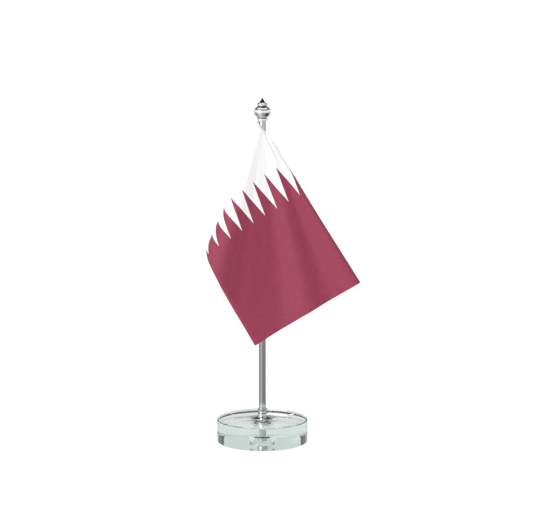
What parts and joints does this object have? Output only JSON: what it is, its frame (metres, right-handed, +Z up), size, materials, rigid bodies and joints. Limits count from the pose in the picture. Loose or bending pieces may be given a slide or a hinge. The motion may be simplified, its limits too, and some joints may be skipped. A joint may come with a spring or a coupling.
{
  "type": "desk flag stand",
  "caption": "Small cloth flag on a chromed pole with a turned finial and a round clear glass base; the flag swivels on the pole and the finial unscrews to change it.",
  "frame": {"origin": "on the pole's axis, at the surface that the pads under the glass base rest on", "axes": "+Z up along the pole, +X the way the flag's fly hangs, -Y the front from which the printed face is seen"},
  "size_m": [0.1732, 0.1, 0.3875],
  "materials": {
    "glass": "polished",
    "clear_pad": "satin",
    "plated_steel": "satin",
    "black_rubber": "matte",
    "nylon": "satin",
    "polished_chrome": "polished",
    "pole_chrome": "satin",
    "insert_brass": "satin",
    "printed_cloth": "matte",
    "white_cord": "matte"
  },
  "bodies": {
    "stand": {"glass_base": "glass", "recess_cover": "clear_pad", "foot_1": "clear_pad", "foot_2": "clear_pad", "foot_3": "clear_pad", "foot_4": "clear_pad", "base_screw": "plated_steel", "steel_washer": "plated_steel", "rubber_washer": "black_rubber", "bore_bush": "nylon", "glass_gasket": "clear_pad", "rosette": "polished_chrome", "ferrule": "polished_chrome", "bottom_insert": "insert_brass", "pole_tube": "pole_chrome", "top_insert": "polished_chrome", "finial_stud": "plated_steel"},
    "finial_seat": {"finial_washer": "nylon"},
    "finial": {"finial": "polished_chrome"},
    "flag": {"flag_cloth": "printed_cloth", "flag_cord": "white_cord"}
  },
  "joints": [
    {"name": "flag_swivel", "type": "hinge", "parent": "stand", "child": "flag", "pos_m": [0, 0, 0.36185], "axis": [0, 0, 1], "continuous": true},
    {"name": "finial_lift", "type": "slide", "parent": "stand", "child": "finial_seat", "axis": [0, 0, 1], "range_m": [0, 0.0063]},
    {"name": "finial_turn", "type": "hinge", "parent": "finial_seat", "child": "finial", "pos_m": [0, 0, 0.37], "axis": [0, 0, 1], "range_deg": [0, 3240]}
  ],
  "couplings": [
    {"joint": "finial_turn", "follows": "finial_lift", "rad_per_m": 8975}
  ]
}
